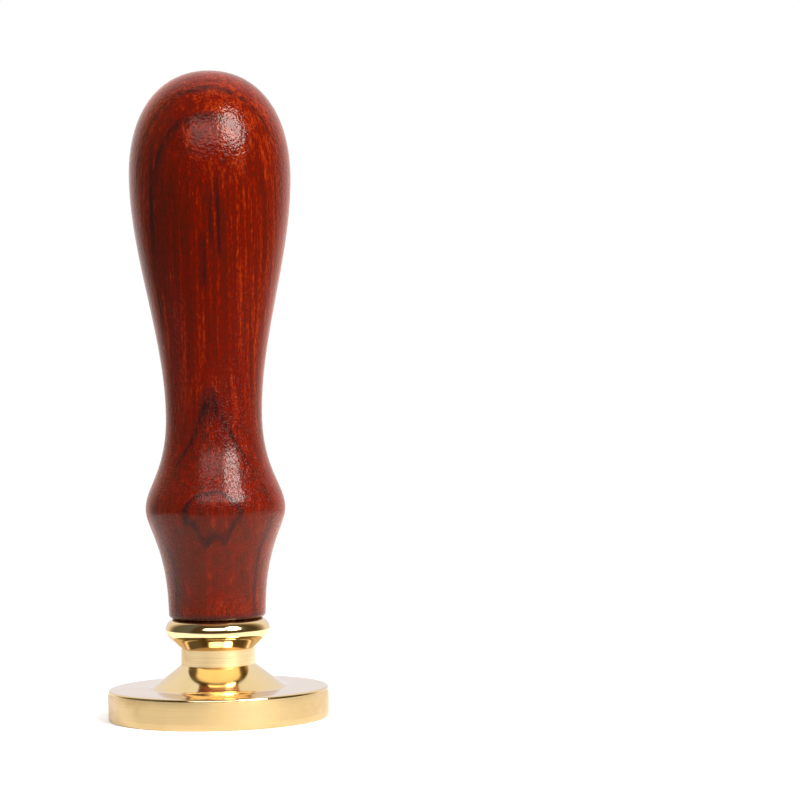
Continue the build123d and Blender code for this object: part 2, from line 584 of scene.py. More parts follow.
class WoodFigure:
    """Masks and colours of a wood's figure, over the piece's own coordinates in millimetres."""

    def __init__(self, wood: LacqueredWood, graph: Graph) -> None:
        """Lay out the tilted grain, and the masks that more than one method uses.

        Args:
            wood: Sizes and colours of the figure.
            graph: Graph of the material.
        """
        self.wood, self.graph = wood, graph
        self.place = graph.millimetres()
        self.x, self.y, self.z = self.place.split()
        above = graph.math("MAXIMUM", self.z - wood.bend_start, 0.0)
        tilt = (self.z - wood.waist) * wood.waist_tilt + above * (wood.taper_tilt - wood.waist_tilt)
        self.back = self.y + tilt
        self.grain = graph.add("ShaderNodeCombineXYZ", {}, {0: self.x, 1: self.back, 2: self.z})
        self.skirt = self.z.ramp(30.0, 26.0)
        self.ripple = graph.swing(self.grain, (0.42, 0.42, 0.06), 2.0)
        self.fine_fibre = graph.swing(self.grain, (6.0, 6.0, 0.16), 2.0)
        self.dashes = graph.noise(self.grain, (1.3, 1.3, 0.11), 3.0, 0.6).ramp(0.38, 0.62)
        self.pores = graph.noise(self.grain, (3.4, 3.4, 0.32), 1.0).ramp(0.62, 0.74)

    def band(self, low: Pair, high: Pair) -> Value:
        """1 between two heights and 0 beyond them, with a fade over the span given for each end."""
        return self.z.ramp(low[0], low[1]) * self.z.ramp(high[1], high[0])

    def late_wood(self) -> Value:
        """Dark end of each growth layer: a line, and a faint shade that leads up to it.

        Depth is the distance back through the layers, with teeth below the ring. The layer ends on
        both sides of a point come from adding up one step for each end that its depth has passed.

        Returns:
            Share of late wood.
        """
        wood, graph, x, z = self.wood, self.graph, self.x, self.z
        bend = graph.swing(self.grain, (0.07, 0.07, 0.022), 2.0)
        teeth = graph.math("COSINE", (x - wood.tooth_middle) * wood.tooth_rate)
        zigzag = teeth * self.band((18.0, 22.0), (25.5, 28.0))
        depth = self.back - x * wood.lean + bend * 0.5 + self.ripple * 0.45 + zigzag * wood.tooth_height
        margin = (wood.layer_margin,)
        gaps = tuple(after - before for before, after in zip(wood.layers, wood.layers[1:]))
        outer = graph.number(wood.layers[0] - wood.layer_margin)
        inner = graph.number(wood.layers[0])
        for layer, step, following in zip(wood.layers, margin + gaps, gaps + margin):
            passed = graph.math("GREATER_THAN", depth, layer)
            outer = outer + passed * step
            inner = inner + passed * following
        width = 0.20 + 0.36 * z.ramp(28.0, 75.0) + 0.16 * self.skirt
        line = ((depth - outer) / width).ramp(0.8, 0.0) + ((inner - depth) / width).ramp(1.6, 0.1)
        strength = 0.72 + 0.08 * z.ramp(32.0, 28.0)
        shade = 0.12 + 0.25 * self.band((33.0, 37.0), (44.0, 50.0))
        late = graph.math("MINIMUM", line, 1.0) * strength + (inner - depth).ramp(1.8, 0.1) * shade
        plain_side = x.ramp(1.5, 6.0) * self.band((42.0, 50.0), (76.0, 83.0))
        return late * (1 - plain_side * 0.7)

    def tone(self) -> Value:
        """Place on the ramp from brown to orange-red: fibres, flecks, clouds, a darker band over the skirt
        and ring, and painted light that lifts the dome's top and the skirt's left side.

        Returns:
            The place, about 0.4 in the mean.
        """
        graph, x, z = self.graph, self.x, self.z
        long_fibre = graph.swing(self.grain, (1.5, 1.5, 0.03), 3.0, 0.6)
        fleck = graph.swing(self.place, (4.0, 4.0, 1.2), 3.0, 0.6)
        cloud = graph.swing(self.place, (0.10, 0.10, 0.04), 2.0)
        mottle = graph.swing(self.place, (0.9, 0.9, 0.4), 3.0, 0.6)
        stripe = x.ramp(1.5, -2.5) * x.ramp(-9.0, -5.0) * z.ramp(54.0, 66.0)
        along = long_fibre * (1.2 + 0.4 * z.ramp(26.0, 36.0)) + self.fine_fibre * 0.55
        # The last term is painted light from above: the dome grows lighter towards its top.
        tone = 0.40 + along + fleck * 1.25 + cloud * 0.9 + z.ramp(66.0, 86.0) * 0.12
        tone = tone - self.band((13.0, 19.0), (24.0, 30.0)) * 0.16 - stripe * 0.13
        # Painted light: the skirt's left side is lifted towards orange-red, where its reflection of the pale
        # surroundings would otherwise leave it grey.
        return tone + self.skirt * (x.ramp(-2.0, -6.0) * 0.14 + mottle * 1.7)

    def streaks(self) -> Value:
        """Dark streaks along the grain: scattered ones, and the front's own few.

        Returns:
            Share of streak.
        """
        wood, graph = self.wood, self.graph
        scattered = graph.noise(self.grain.moved((3.76, 1.5, 6.2)), (1.5, 1.5, 0.032), 2.0)
        streaks = scattered.ramp(0.66, 0.73) * 0.6
        front = self.y.ramp(2.0, -2.0)
        fade = wood.streak_fade
        for middle, low, high in wood.streaks:
            off = graph.math("ABSOLUTE", self.x + self.ripple * 1.6 - middle)
            ends = self.band((low - fade, low + fade), (high - fade, high + fade))
            streaks = graph.math("MAXIMUM", streaks, off.ramp(0.5, 0.1) * ends * front)
        return streaks

    def colour(self) -> Value:
        """The ramp's colour, ambered below the ring, under everything that is as dark as late wood, which
        includes a painted shade just above the foot.

        Returns:
            The base colour.
        """
        wood, graph, z = self.wood, self.graph, self.z
        stops = [(0.0, wood.brown), (0.5, wood.red), (1.0, wood.orange_red)]
        colour = graph.add("ShaderNodeValToRGB", {"stops": stops}, {"Fac": self.tone()})
        colour = graph.mix(self.skirt * 0.30, colour, wood.amber)
        solid = 0.4 + 0.35 * z.ramp(36.0, 30.0)
        # Painted shade: the wood turns nearly black over the last millimetre above the foot. It stands in
        # for the shadow in the gap over the brass collar.
        foot_painted_shade = z.ramp(wood.foot + 1.1, wood.foot + 0.1)
        dark_shares = (
            self.late_wood() * (solid + (1 - solid) * self.dashes),
            self.streaks() * (0.35 + 0.5 * self.dashes),
            self.pores * 0.35,
            foot_painted_shade * 0.9,
        )
        for share in dark_shares:
            colour = graph.mix(share, colour, wood.late_wood)
        return colour

    def lacquer(self) -> Tuple[Value, Value]:
        """The lacquer's surface: an orange peel that is worn, pitted and duller towards the foot.

        Returns:
            Roughness, and height in micrometres.
        """
        graph, place = self.graph, self.place
        worn = self.z.ramp(58.0, 40.0)
        speck = graph.noise(place, (4.4, 4.4, 4.0), 0.0)
        pits = speck.ramp(0.54, 0.66) * (worn + 0.3)
        dull = speck.ramp(0.40, 0.58) * worn * 0.15
        broad_peel = graph.noise(place, (2.3, 2.3, 2.5), 1.0)
        fine_peel = graph.noise(place, (3.5, 3.5, 3.3), 0.0)
        height = broad_peel * (1.6 - worn) * 34.0 + fine_peel * 16.0
        height = height + self.fine_fibre * 3.0 - pits * 16.0 - self.pores * 5.0
        return self.wood.gloss + self.pores * 0.12 + dull + self.skirt * 0.05, height


class BrassCut(Enum):
    """How a face of the brass was finished. The value is its finish number on the head."""

    POLISHED = 0
    SATIN = 1
    BRUSHED = 2
    BRIGHT = 3
    MATTE = 4
    TAPPED = 5
    TURNED = 6


@dataclass(frozen=True)
class Brass:
    """Yellow brass with one kind of cut."""

    cut: BrassCut
    metal: Colour = (0.87, 0.66, 0.345, 1.0)
    tarnish: Colour = (0.85, 0.61, 0.28, 1.0)
    glancing: Colour = (0.88, 0.88, 1.0, 1.0)
    roughness: float = 0.10
    line_height: float = 0.4
    lines_per_mm: float = 9.0
    line_shade: float = 0.0
    grit_height: float = 0.0
    height_weight: float = 1.1

    def material(self) -> bpy.types.Material:
        """Build the material: tool lines that follow the cut, smudges, and a little tarnish.

        Returns:
            The material.
        """
        material, graph = new_material("brass_" + self.cut.name.lower())
        place = graph.millimetres()
        if self.cut is BrassCut.BRUSHED:
            lines = graph.noise(place, (0.12, self.lines_per_mm, 0.12), 3.0, 0.6)
        else:
            x, y, z = place.split()
            lines = graph.lines(graph.from_axis(x, y) + z * self.height_weight, self.lines_per_mm, 3.0)
        smudge = graph.noise(place, (0.16, 0.16, 0.22), 3.0, 0.6)
        grit = graph.noise(place, (7.0, 7.0, 7.0), 2.0)
        height = lines * self.line_height + grit * self.grit_height
        smudged = smudge.ramp(0.42, 0.75)
        darkened = graph.math("MAXIMUM", smudged, lines.ramp(0.44, 0.60) * self.line_shade)
        graph.surface(
            {
                "Base Color": graph.mix(darkened, self.metal, self.tarnish),
                "Metallic": 1.0,
                "Specular Tint": self.glancing,
                "Roughness": self.roughness * (0.75 + 0.3 * lines + 0.4 * smudge.ramp(0.35, 0.75)),
                "Normal": graph.bump(height),
            }
        )
        return material


@dataclass(frozen=True)
class PlatedSteel:
    """Zinc-plated steel with the faint mottle of its plating."""

    metal: Colour = (0.60, 0.61, 0.63, 1.0)
    shade: Colour = (0.44, 0.44, 0.45, 1.0)
    roughness: float = 0.30

    def material(self) -> bpy.types.Material:
        """Build the material: mottled plating with lines round the thread.

        Returns:
            The material.
        """
        material, graph = new_material("plated_steel")
        place = graph.millimetres()
        mottle = graph.noise(place, (0.8, 0.8, 0.8), 3.0)
        lines = graph.noise(place, (0.3, 0.3, 9.0), 2.0)
        graph.surface(
            {
                "Base Color": graph.mix(mottle.ramp(0.35, 0.7), self.metal, self.shade),
                "Metallic": 1.0,
                "Roughness": self.roughness + mottle * 0.12,
                "Normal": graph.bump(lines * 1.2),
            }
        )
        return material


@dataclass(frozen=True)
class PaleFloor:
    """Plain pale paper."""

    paper: Colour = (0.76, 0.76, 0.76, 1.0)
    front_fade: Pair = (25.0, 120.0)
    side_fade: Pair = (100.0, 200.0)
    lift: float = 0.34
    roughness: float = 0.9
    specular: float = 0.1

    def material(self) -> bpy.types.Material:
        """Build the material: matt paper, a little paler where it is seen, that fades out at its edge.

        Returns:
            The material.
        """
        material, graph = new_material("pale_floor")
        place = graph.millimetres()
        x, y, _ = place.split()
        front, side = self.front_fade, self.side_fade
        camera = graph.add("ShaderNodeLightPath", output="Is Camera Ray")
        shown = camera + camera.out("Is Glossy Ray") + camera.out("Is Transmission Ray")
        graph.surface(
            {
                "Base Color": self.paper,
                "Roughness": self.roughness,
                "Specular IOR Level": self.specular,
                "Alpha": y.ramp(-front[1], -front[0]) * graph.from_axis(x, y).ramp(side[1], side[0]),
                "Emission Color": graph.mix(shown, BLACK, (self.lift, self.lift, self.lift, 1.0)),
                "Emission Strength": 1.0,
                "Normal": graph.bump(graph.noise(place, (1.5, 1.5, 1.5), 2.0)),
            }
        )
        return material


# The stamp's pieces


@dataclass
class Petals:
    """Outlines of many petals along +X, worked out together.

    Each is narrow and round at the root, broad and round at the tip, and then turned to its place.
    """

    turn: np.ndarray
    root: np.ndarray
    widest: np.ndarray
    half_width: np.ndarray
    tip: np.ndarray
    root_round: float = 0.4
    belly: float = 0.17
    tip_round: float = 0.55
    shoulder: float = 0.55
    reach_points: int = 48

    def grown(self, by: float) -> "Petals":
        """The same petals with their outlines moved outwards."""
        return Petals(self.turn, self.root - by, self.widest, self.half_width + by, self.tip + by)

    def side(self, count: int) -> Tuple[np.ndarray, np.ndarray]:
        """The upper half of every outline, as two cubic curves from root to tip.

        Args:
            count: Number of points on each curve.

        Returns:
            Points of the belly curve and of the tip curve, each of shape (petals, count, 2).
        """
        root, wide, half, tip = self.root, self.widest, self.half_width, self.tip
        zero = np.zeros_like(root)
        ends = np.stack([wide, half], axis=-1)
        belly = cubic_points(
            [
                np.stack([root, zero], axis=-1),
                np.stack([root, half * self.root_round], axis=-1),
                np.stack([wide - (wide - root) * self.belly, half], axis=-1),
                ends,
            ],
            count,
        )
        tips = cubic_points(
            [
                ends,
                np.stack([wide + (tip - wide) * self.shoulder, half], axis=-1),
                np.stack([tip, half * self.tip_round], axis=-1),
                np.stack([tip, zero], axis=-1),
            ],
            count,
        )
        return belly, tips

    def loop(self, level: Union[float, np.ndarray], count: int) -> np.ndarray:
        """Every closed outline at a height, turned to its place.

        Args:
            level: Height of the outlines, one for all or one for each.
            count: Number of points on each of an outline's four curves.

        Returns:
            Points of shape (petals, 4 count - 4, 3), counter-clockwise from the root.
        """
        belly, tips = self.side(count)
        upper = np.concatenate([belly, tips[:, 1:]], axis=1)
        lower = upper * np.array([1.0, -1.0])
        flat = np.concatenate([lower, upper[:, -2:0:-1]], axis=1)
        cos, sin = np.cos(self.turn)[:, None], np.sin(self.turn)[:, None]
        x = flat[..., 0] * cos - flat[..., 1] * sin
        y = flat[..., 0] * sin + flat[..., 1] * cos
        height = np.broadcast_to(np.reshape(level, (-1, 1)), x.shape)
        return np.stack([x, y, height], axis=-1)

    def reach(self, angle: np.ndarray, least: float) -> np.ndarray:
        """How far from the centre the outermost petal reaches at each angle.

        Args:
            angle: Angles in radians.
            least: Reach where no petal is.

        Returns:
            The largest distance at each angle.
        """
        tips = self.side(self.reach_points)[1]
        spread = np.arctan2(tips[..., 1], tips[..., 0])
        distance = np.hypot(tips[..., 0], tips[..., 1])
        off = np.abs((angle - self.turn[:, None] + np.pi) % (2 * np.pi) - np.pi)
        rows = zip(off, spread[:, ::-1], distance[:, ::-1])
        return np.max([np.interp(o, s, d, right=least) for o, s, d in rows], axis=0)


@dataclass
class Head:
    """Turned brass head: collar, neck, cone and disc, with a daisy engraved in the sealing face.

    A petal's sizes are those of the broad front ones and of the narrow back ones. The widths and the
    phase of the hole's thread are in pitches.
    """

    height: float = 13.65
    disc_radius: float = 15.0
    disc_thickness: float = 4.15
    disc_top_round: float = 0.35
    disc_bottom_round: float = 0.25
    flare_deg: float = 37.5
    flare_fillet: float = 1.5
    neck_radius: float = 5.05
    neck_bottom: float = 7.3
    collar_radius: float = 7.15
    collar_round: float = 1.6
    undercut_deg: float = 41.0
    hole_radius: float = 3.55
    hole_depth: float = 8.6
    mouth_chamfer: float = 0.5
    drill_point_deg: float = 118.0
    thread_pitch: float = 1.0
    thread_crest: float = 2.96
    thread_crest_half: float = 0.09
    thread_foot_half: float = 0.42
    thread_embed: float = 0.04
    thread_below: float = 0.7
    thread_above: float = 0.6
    thread_steps: int = 48
    thread_phase: float = 0.5
    engraving_depth: float = 0.9
    wall_deg: float = 35.0
    line_width: float = 0.45
    petal_pairs: int = 15
    petal_root: Pair = (3.6, 3.75)
    petal_widest: Pair = (10.0, 9.8)
    petal_half_width: Pair = (0.94, 0.62)
    petal_tip: Pair = (12.35, 11.75)
    petal_lean_deg: float = 0.9
    petal_unevenness: float = 0.25
    petal_points: int = 13
    least_half_width: float = 0.06
    edge_break: float = 0.03
    floret_count: int = 17
    floret_points: int = 5
    floret_spacing: float = 0.7
    floret_radius: float = 0.56
    floret_inner_radius: float = 0.27
    floret_height: float = 0.8
    floor_rings: Tuple[float, ...] = (0.0, 0.3, 0.6, 0.8, 0.92, 1.0)
    wall_rings: int = 4
    turns: int = 624
    sunk: float = 0.05

    @property
    def wall(self) -> float:
        """How far an engraved wall slopes outwards over its depth."""
        return self.engraving_depth * math.tan(math.radians(self.wall_deg))

    def daisy(self) -> Petals:
        """The daisy's petals: broad front ones, with a narrow back one in each gap.

        Returns:
            The front petals, then the back ones.
        """
        i = np.arange(self.petal_pairs)
        step = 2 * np.pi / self.petal_pairs
        lean = math.radians(self.petal_lean_deg) * np.sin(GOLDEN_ANGLE * i)
        uneven = self.petal_unevenness * np.cos(2 * GOLDEN_ANGLE * i)
        turn = np.concatenate([i * step + lean, (i + 0.5) * step])
        pairs = (self.petal_root, self.petal_widest, self.petal_half_width, self.petal_tip)
        root, widest, half_width, tip = (np.repeat(pair, self.petal_pairs) for pair in pairs)
        return Petals(turn, root, widest, half_width, tip + np.concatenate([uneven, -uneven]))

    def sealing_face(self) -> Tuple[np.ndarray, np.ndarray, List[int]]:
        """Rings of the engraved face: floor, sloped wall and flat margin.

        The wall runs from the daisy's outline on the floor to its wider outline in the face, and
        both change with the angle. The margin blends from that outline to a circle.

        Returns:
            Radii and heights of shape (rings, turns), and the finish of each band.
        """
        angle = 2 * np.pi * np.arange(self.turns) / self.turns
        daisy = self.daisy()
        gap = self.petal_widest[1]
        floor = daisy.grown(self.line_width).reach(angle, gap)
        mouth = daisy.grown(self.line_width + self.wall).reach(angle, gap)
        edge = self.disc_radius - self.disc_bottom_round
        shares = np.array(self.floor_rings)[:, None]
        steps = np.linspace(0, 1, self.wall_rings + 1)[1:, None]
        radius = np.concatenate(
            [floor * shares, floor + (mouth - floor) * steps, mouth + (edge - mouth) * steps]
        )
        deep = np.full((len(shares), self.turns), self.engraving_depth)
        wall = np.repeat(self.engraving_depth * (1 - steps), self.turns, axis=1)
        flat = np.zeros((len(steps), self.turns))
        finish = [BrassCut.MATTE.value] * (len(shares) - 1)
        finish += [BrassCut.BRIGHT.value] * len(steps) + [BrassCut.BRUSHED.value] * len(steps)
        return radius, np.concatenate([deep, wall, flat]), finish

    def turned_outline(self) -> Outline:
        """Outline of the turned faces, from the sealing face's edge over the collar into the hole.

        Returns:
            The outline, with the finish of each cut.
        """
        polished, satin = BrassCut.POLISHED.value, BrassCut.SATIN.value
        tapped, turned = BrassCut.TAPPED.value, BrassCut.TURNED.value
        rim, thick, top = self.disc_radius, self.disc_thickness, self.height
        low, high, fillet = self.disc_bottom_round, self.disc_top_round, self.flare_fillet
        neck, hole, bead = self.neck_radius, self.hole_radius, self.collar_round
        slope = math.radians(self.flare_deg)
        foot = neck + (self.neck_bottom - thick) / math.tan(slope)
        reach = fillet * math.tan(slope / 2)
        fillet_top = (foot - reach * math.cos(slope), thick + reach * math.sin(slope))
        under = math.radians(90 - self.undercut_deg)
        centre = (self.collar_radius - bead, top - bead)
        bead_low = (centre[0] + bead * math.cos(under), centre[1] - bead * math.sin(under))
        neck_top = bead_low[1] - (bead_low[0] - neck) / math.tan(under)
        mouth, sink = hole + self.mouth_chamfer, top - self.mouth_chamfer
        bottom = top - self.hole_depth
        tip = bottom - hole / math.tan(math.radians(self.drill_point_deg / 2))
        return (
            Outline()
            .cut(arc_points((rim - low, low), low, -90, 90, 6), satin)
            .cut(line_points((rim, low), (rim, thick - high), 5), satin)
            .cut(arc_points((rim - high, thick - high), high, 0, 90, 7), polished)
            .cut(line_points((rim - high, thick), (foot + reach, thick), 6), polished)
            .cut(arc_points((foot + reach, thick + fillet), fillet, 270, -self.flare_deg, 10), polished)
            .cut(line_points(fillet_top, (neck, self.neck_bottom), 8), polished)
            .cut(line_points((neck, self.neck_bottom), (neck, neck_top), 5), turned)
            .cut(line_points((neck, neck_top), bead_low, 5), polished)
            .cut(arc_points(centre, bead, self.undercut_deg - 90, 180 - self.undercut_deg, 20), polished)
            .cut(line_points((centre[0], top), (mouth, top), 3), satin)
            .cut(line_points((mouth, top), (hole, sink), 2), tapped)
            .cut(line_points((hole, sink), (hole, bottom), 4), tapped)
            .cut(line_points((hole, bottom), (0.0, tip), 3), tapped)
        )

    def islands(self) -> Skin:
        """Brass left standing inside each petal's line, as closed shells sunk into the floor.

        Each shell is lofted between three outlines: the petal's own in the floor, the flat's on top,
        and the flat's again a little smaller, so that its edge is broken. A lid is a strip of quads
        from one side to the other, with a triangle at each end.

        Returns:
            All the petals' shells.
        """
        daisy = self.daisy()
        half, root = daisy.half_width, daisy.root
        top_half = np.maximum(half - self.wall, self.least_half_width)
        inset = half - top_half
        top_root = root + inset * (daisy.widest - root) / half / 2
        level = self.engraving_depth * (1 - inset / self.wall)
        top = Petals(daisy.turn, top_root, daisy.widest, top_half, daisy.tip - inset)
        broken = top.grown(-self.edge_break)
        count = self.petal_points
        loops = [
            daisy.loop(self.engraving_depth + self.sunk, count),
            daisy.loop(self.engraving_depth, count),
            top.loop(level + self.edge_break, count),
            broken.loop(level, count),
        ]
        points = np.stack(loops, axis=1)
        petals, rows, sides = points.shape[:3]
        place = np.arange(petals * rows * sides).reshape(petals, rows, sides)
        after = np.roll(place, -1, axis=2)
        walls = np.stack([place[:, :-1], place[:, 1:], after[:, 1:], after[:, :-1]], axis=-1).reshape(-1, 4)
        right = np.arange(sides // 2)
        left = (sides - right) % sides
        strip = np.stack([left, left - 1, right + 1, right], axis=-1) % sides
        strip[0] = (sides - 1, 1, 0, -1)
        strip[-1] = (sides // 2 + 1, sides // 2, sides // 2 - 1, -1)
        top_lids = np.where(strip < 0, -1, place[:, -1][:, np.where(strip < 0, 0, strip)])
        turned = np.where(strip[:, -1:] < 0, strip[:, [2, 1, 0, 3]], strip[:, ::-1])
        low_lids = np.where(turned < 0, -1, place[:, 0][:, np.where(turned < 0, 0, turned)])
        faces = np.concatenate([walls, top_lids.reshape(-1, 4), low_lids.reshape(-1, 4)])
        finish = np.full(len(faces), BrassCut.BRUSHED.value)
        finish[: len(walls)] = BrassCut.BRIGHT.value
        return Skin(points.reshape(-1, 3), faces, finish)

    def florets(self) -> Skin:
        """Small five-pointed pyramids in the daisy's eye, set on a sunflower's spiral.

        Floret i stands at distance spacing times the root of i + 1/2, turned by i golden angles.

        Returns:
            All the pyramids, sunk into the floor.
        """
        corners = 2 * self.floret_points
        i = np.arange(self.floret_count)[:, None]
        k = np.arange(corners)
        out = self.floret_spacing * np.sqrt(i + 0.5)
        radius = np.where(k % 2, self.floret_inner_radius, self.floret_radius)
        turn = GOLDEN_ANGLE * i
        angle = np.pi * k / self.floret_points
        local_x, local_y = out + radius * np.cos(angle), radius * np.sin(angle)
        x = local_x * np.cos(turn) - local_y * np.sin(turn)
        y = local_x * np.sin(turn) + local_y * np.cos(turn)
        base = np.stack([x, y, np.full_like(x, self.engraving_depth + self.sunk)], axis=-1)
        centre = np.stack([out * np.cos(turn), out * np.sin(turn), np.zeros_like(out)], axis=-1)
        apex = centre + np.array([0, 0, self.engraving_depth - self.floret_height])
        lid = centre + np.array([0, 0, self.engraving_depth + self.sunk])
        points = np.concatenate([base, apex, lid], axis=1)
        start = points.shape[1] * i
        here, after = start + k, start + (k + 1) % corners
        none = np.full_like(here, -1)
        tip = np.broadcast_to(start + corners, here.shape)
        middle = tip + 1
        slopes = np.stack([here, tip, after, none], axis=-1).reshape(-1, 4)
        lids = np.stack([here, after, middle, none], axis=-1).reshape(-1, 4)
        faces = np.concatenate([slopes, lids])
        return Skin(points.reshape(-1, 3), faces, np.full(len(faces), BrassCut.BRIGHT.value))

    def tapped_thread(self) -> Skin:
        """Ridge of the hole's own thread, half a pitch off the stud's, rooted in the hole's wall.

        Returns:
            The closed ridge.
        """
        crest, root, pitch = self.thread_crest, self.hole_radius + self.thread_embed, self.thread_pitch
        wide, narrow = self.thread_foot_half * pitch, self.thread_crest_half * pitch
        section = np.array([[root, -wide], [root, wide], [crest, narrow], [crest, -narrow]])
        start = self.height - self.hole_depth + self.thread_above
        end = self.height - self.thread_below
        steps, phase = self.thread_steps, self.thread_phase
        return helix_skin(section, pitch, start, end, steps, phase, BrassCut.TAPPED.value)

    def build(self) -> Skin:
        """Build the head: one turned skin, with the petals, florets and thread that stand in it.

        Returns:
            The head's surface, with the finish of each face.
        """
        radius, height, finish = self.sealing_face()
        outline = self.turned_outline()
        up_radius, up_height = outline.rings(self.turns)
        radius = np.concatenate([radius, up_radius[1:]])
        height = np.concatenate([height, up_height[1:]])
        body = turned_skin(radius, height, finish + outline.finish)
        return Skin.joined([body, self.islands(), self.florets(), self.tapped_thread()])

    def dress(self) -> List[bpy.types.Material]:
        """Make one material for each cut.

        Returns:
            The materials, in the order of their finish numbers.
        """
        cuts = [
            Brass(BrassCut.POLISHED),
            Brass(
                BrassCut.SATIN,
                metal=(0.625, 0.463, 0.236, 1.0),
                tarnish=(0.57, 0.402, 0.178, 1.0),
                roughness=0.40,
                line_height=5.0,
                lines_per_mm=5.0,
                line_shade=0.5,
            ),
            Brass(
                BrassCut.BRUSHED,
                metal=(0.70, 0.52, 0.30, 1.0),
                tarnish=(0.64, 0.46, 0.25, 1.0),
                roughness=0.36,
                line_height=2.5,
                lines_per_mm=14.0,
            ),
            Brass(BrassCut.BRIGHT, roughness=0.16, line_height=0.6, lines_per_mm=12.0),
            Brass(
                BrassCut.MATTE,
                metal=(0.62, 0.53, 0.40, 1.0),
                tarnish=(0.48, 0.40, 0.29, 1.0),
                roughness=0.5,
                grit_height=9.0,
            ),
            Brass(BrassCut.TAPPED, roughness=0.3, line_height=1.0),
            Brass(
                BrassCut.TURNED,
                metal=(0.88, 0.71, 0.42, 1.0),
                tarnish=(0.74, 0.54, 0.26, 1.0),
                roughness=0.38,
                line_height=14.0,
                lines_per_mm=4.5,
                line_shade=0.7,
            ),
        ]
        return [cut.material() for cut in cuts]


@dataclass
class Stud:
    """Steel hanger bolt: a machine thread below the handle's foot and a wood-screw thread above."""

    foot: float = 13.65
    projection: float = 8.0
    thread_radius: float = 3.5
    thread_root: float = 2.89
    thread_pitch: float = 1.0
    tip_chamfer: float = 0.6
    lag_radius: float = 3.2
    lag_root: float = 2.3
    lag_pitch: float = 2.6
    lag_length: float = 19.0
    point_length: float = 4.0
    point_radius: float = 0.5
    machine_flat: float = 0.12
    lag_flat: float = 0.08
    machine_rows_per_mm: int = 16
    lag_rows_per_mm: int = 8
    shoulder_step: float = 0.01
    turns: int = 72

    def thread(self, height: np.ndarray, angle: np.ndarray, pitch: float, flat: float) -> np.ndarray:
        """How far up its flank a thread is, from 0 at the root to 1 at the crest.

        The height less the helix's own rise, in pitches, is folded to a triangle wave, whose tip and
        foot are cut off flat.

        Args:
            height: Heights.
            angle: Angles in radians.
            pitch: Rise in one turn.
            flat: Share of the wave that is cut off at each end.

        Returns:
            Values from 0 to 1.
        """
        phase = (height / pitch - angle / (2 * np.pi)) % 1.0
        wave = np.abs(2 * phase - 1)
        return np.clip((wave - flat) / (1 - 2 * flat), 0, 1)

    def build(self) -> Skin:
        """Build the stud: a turned surface whose radius changes with height and angle.

        Returns:
            The stud's surface.
        """
        tip = self.foot - self.projection
        end = self.foot + self.lag_length
        angle = 2 * np.pi * np.arange(self.turns) / self.turns
        low = np.linspace(tip, self.foot, int(self.projection * self.machine_rows_per_mm) + 1)[:, None]
        outer = np.minimum(self.thread_radius, self.thread_radius - self.tip_chamfer + low - tip)
        crest = self.thread(low, angle, self.thread_pitch, self.machine_flat)
        machine = np.minimum(self.thread_root + (self.thread_radius - self.thread_root) * crest, outer)
        rows = int(self.lag_length * self.lag_rows_per_mm) + 1
        high = np.linspace(self.foot + self.shoulder_step, end, rows)[:, None]
        limit = np.interp(high, [end - self.point_length, end], [self.lag_radius, self.point_radius])
        ridge = self.thread(high, angle, self.lag_pitch, self.lag_flat) ** 2
        lag = limit * (self.lag_root + (self.lag_radius - self.lag_root) * ridge) / self.lag_radius
        zero = np.zeros((1, self.turns))
        radius = np.concatenate([zero, machine, lag, zero])
        height = np.concatenate(
            [zero + tip, np.repeat(low, self.turns, axis=1), np.repeat(high, self.turns, axis=1), zero + end]
        )
        return turned_skin(radius, height, [0] * (len(radius) - 1))

    def dress(self) -> List[bpy.types.Material]:
        """The stud's one material."""
        return [PlatedSteel().material()]


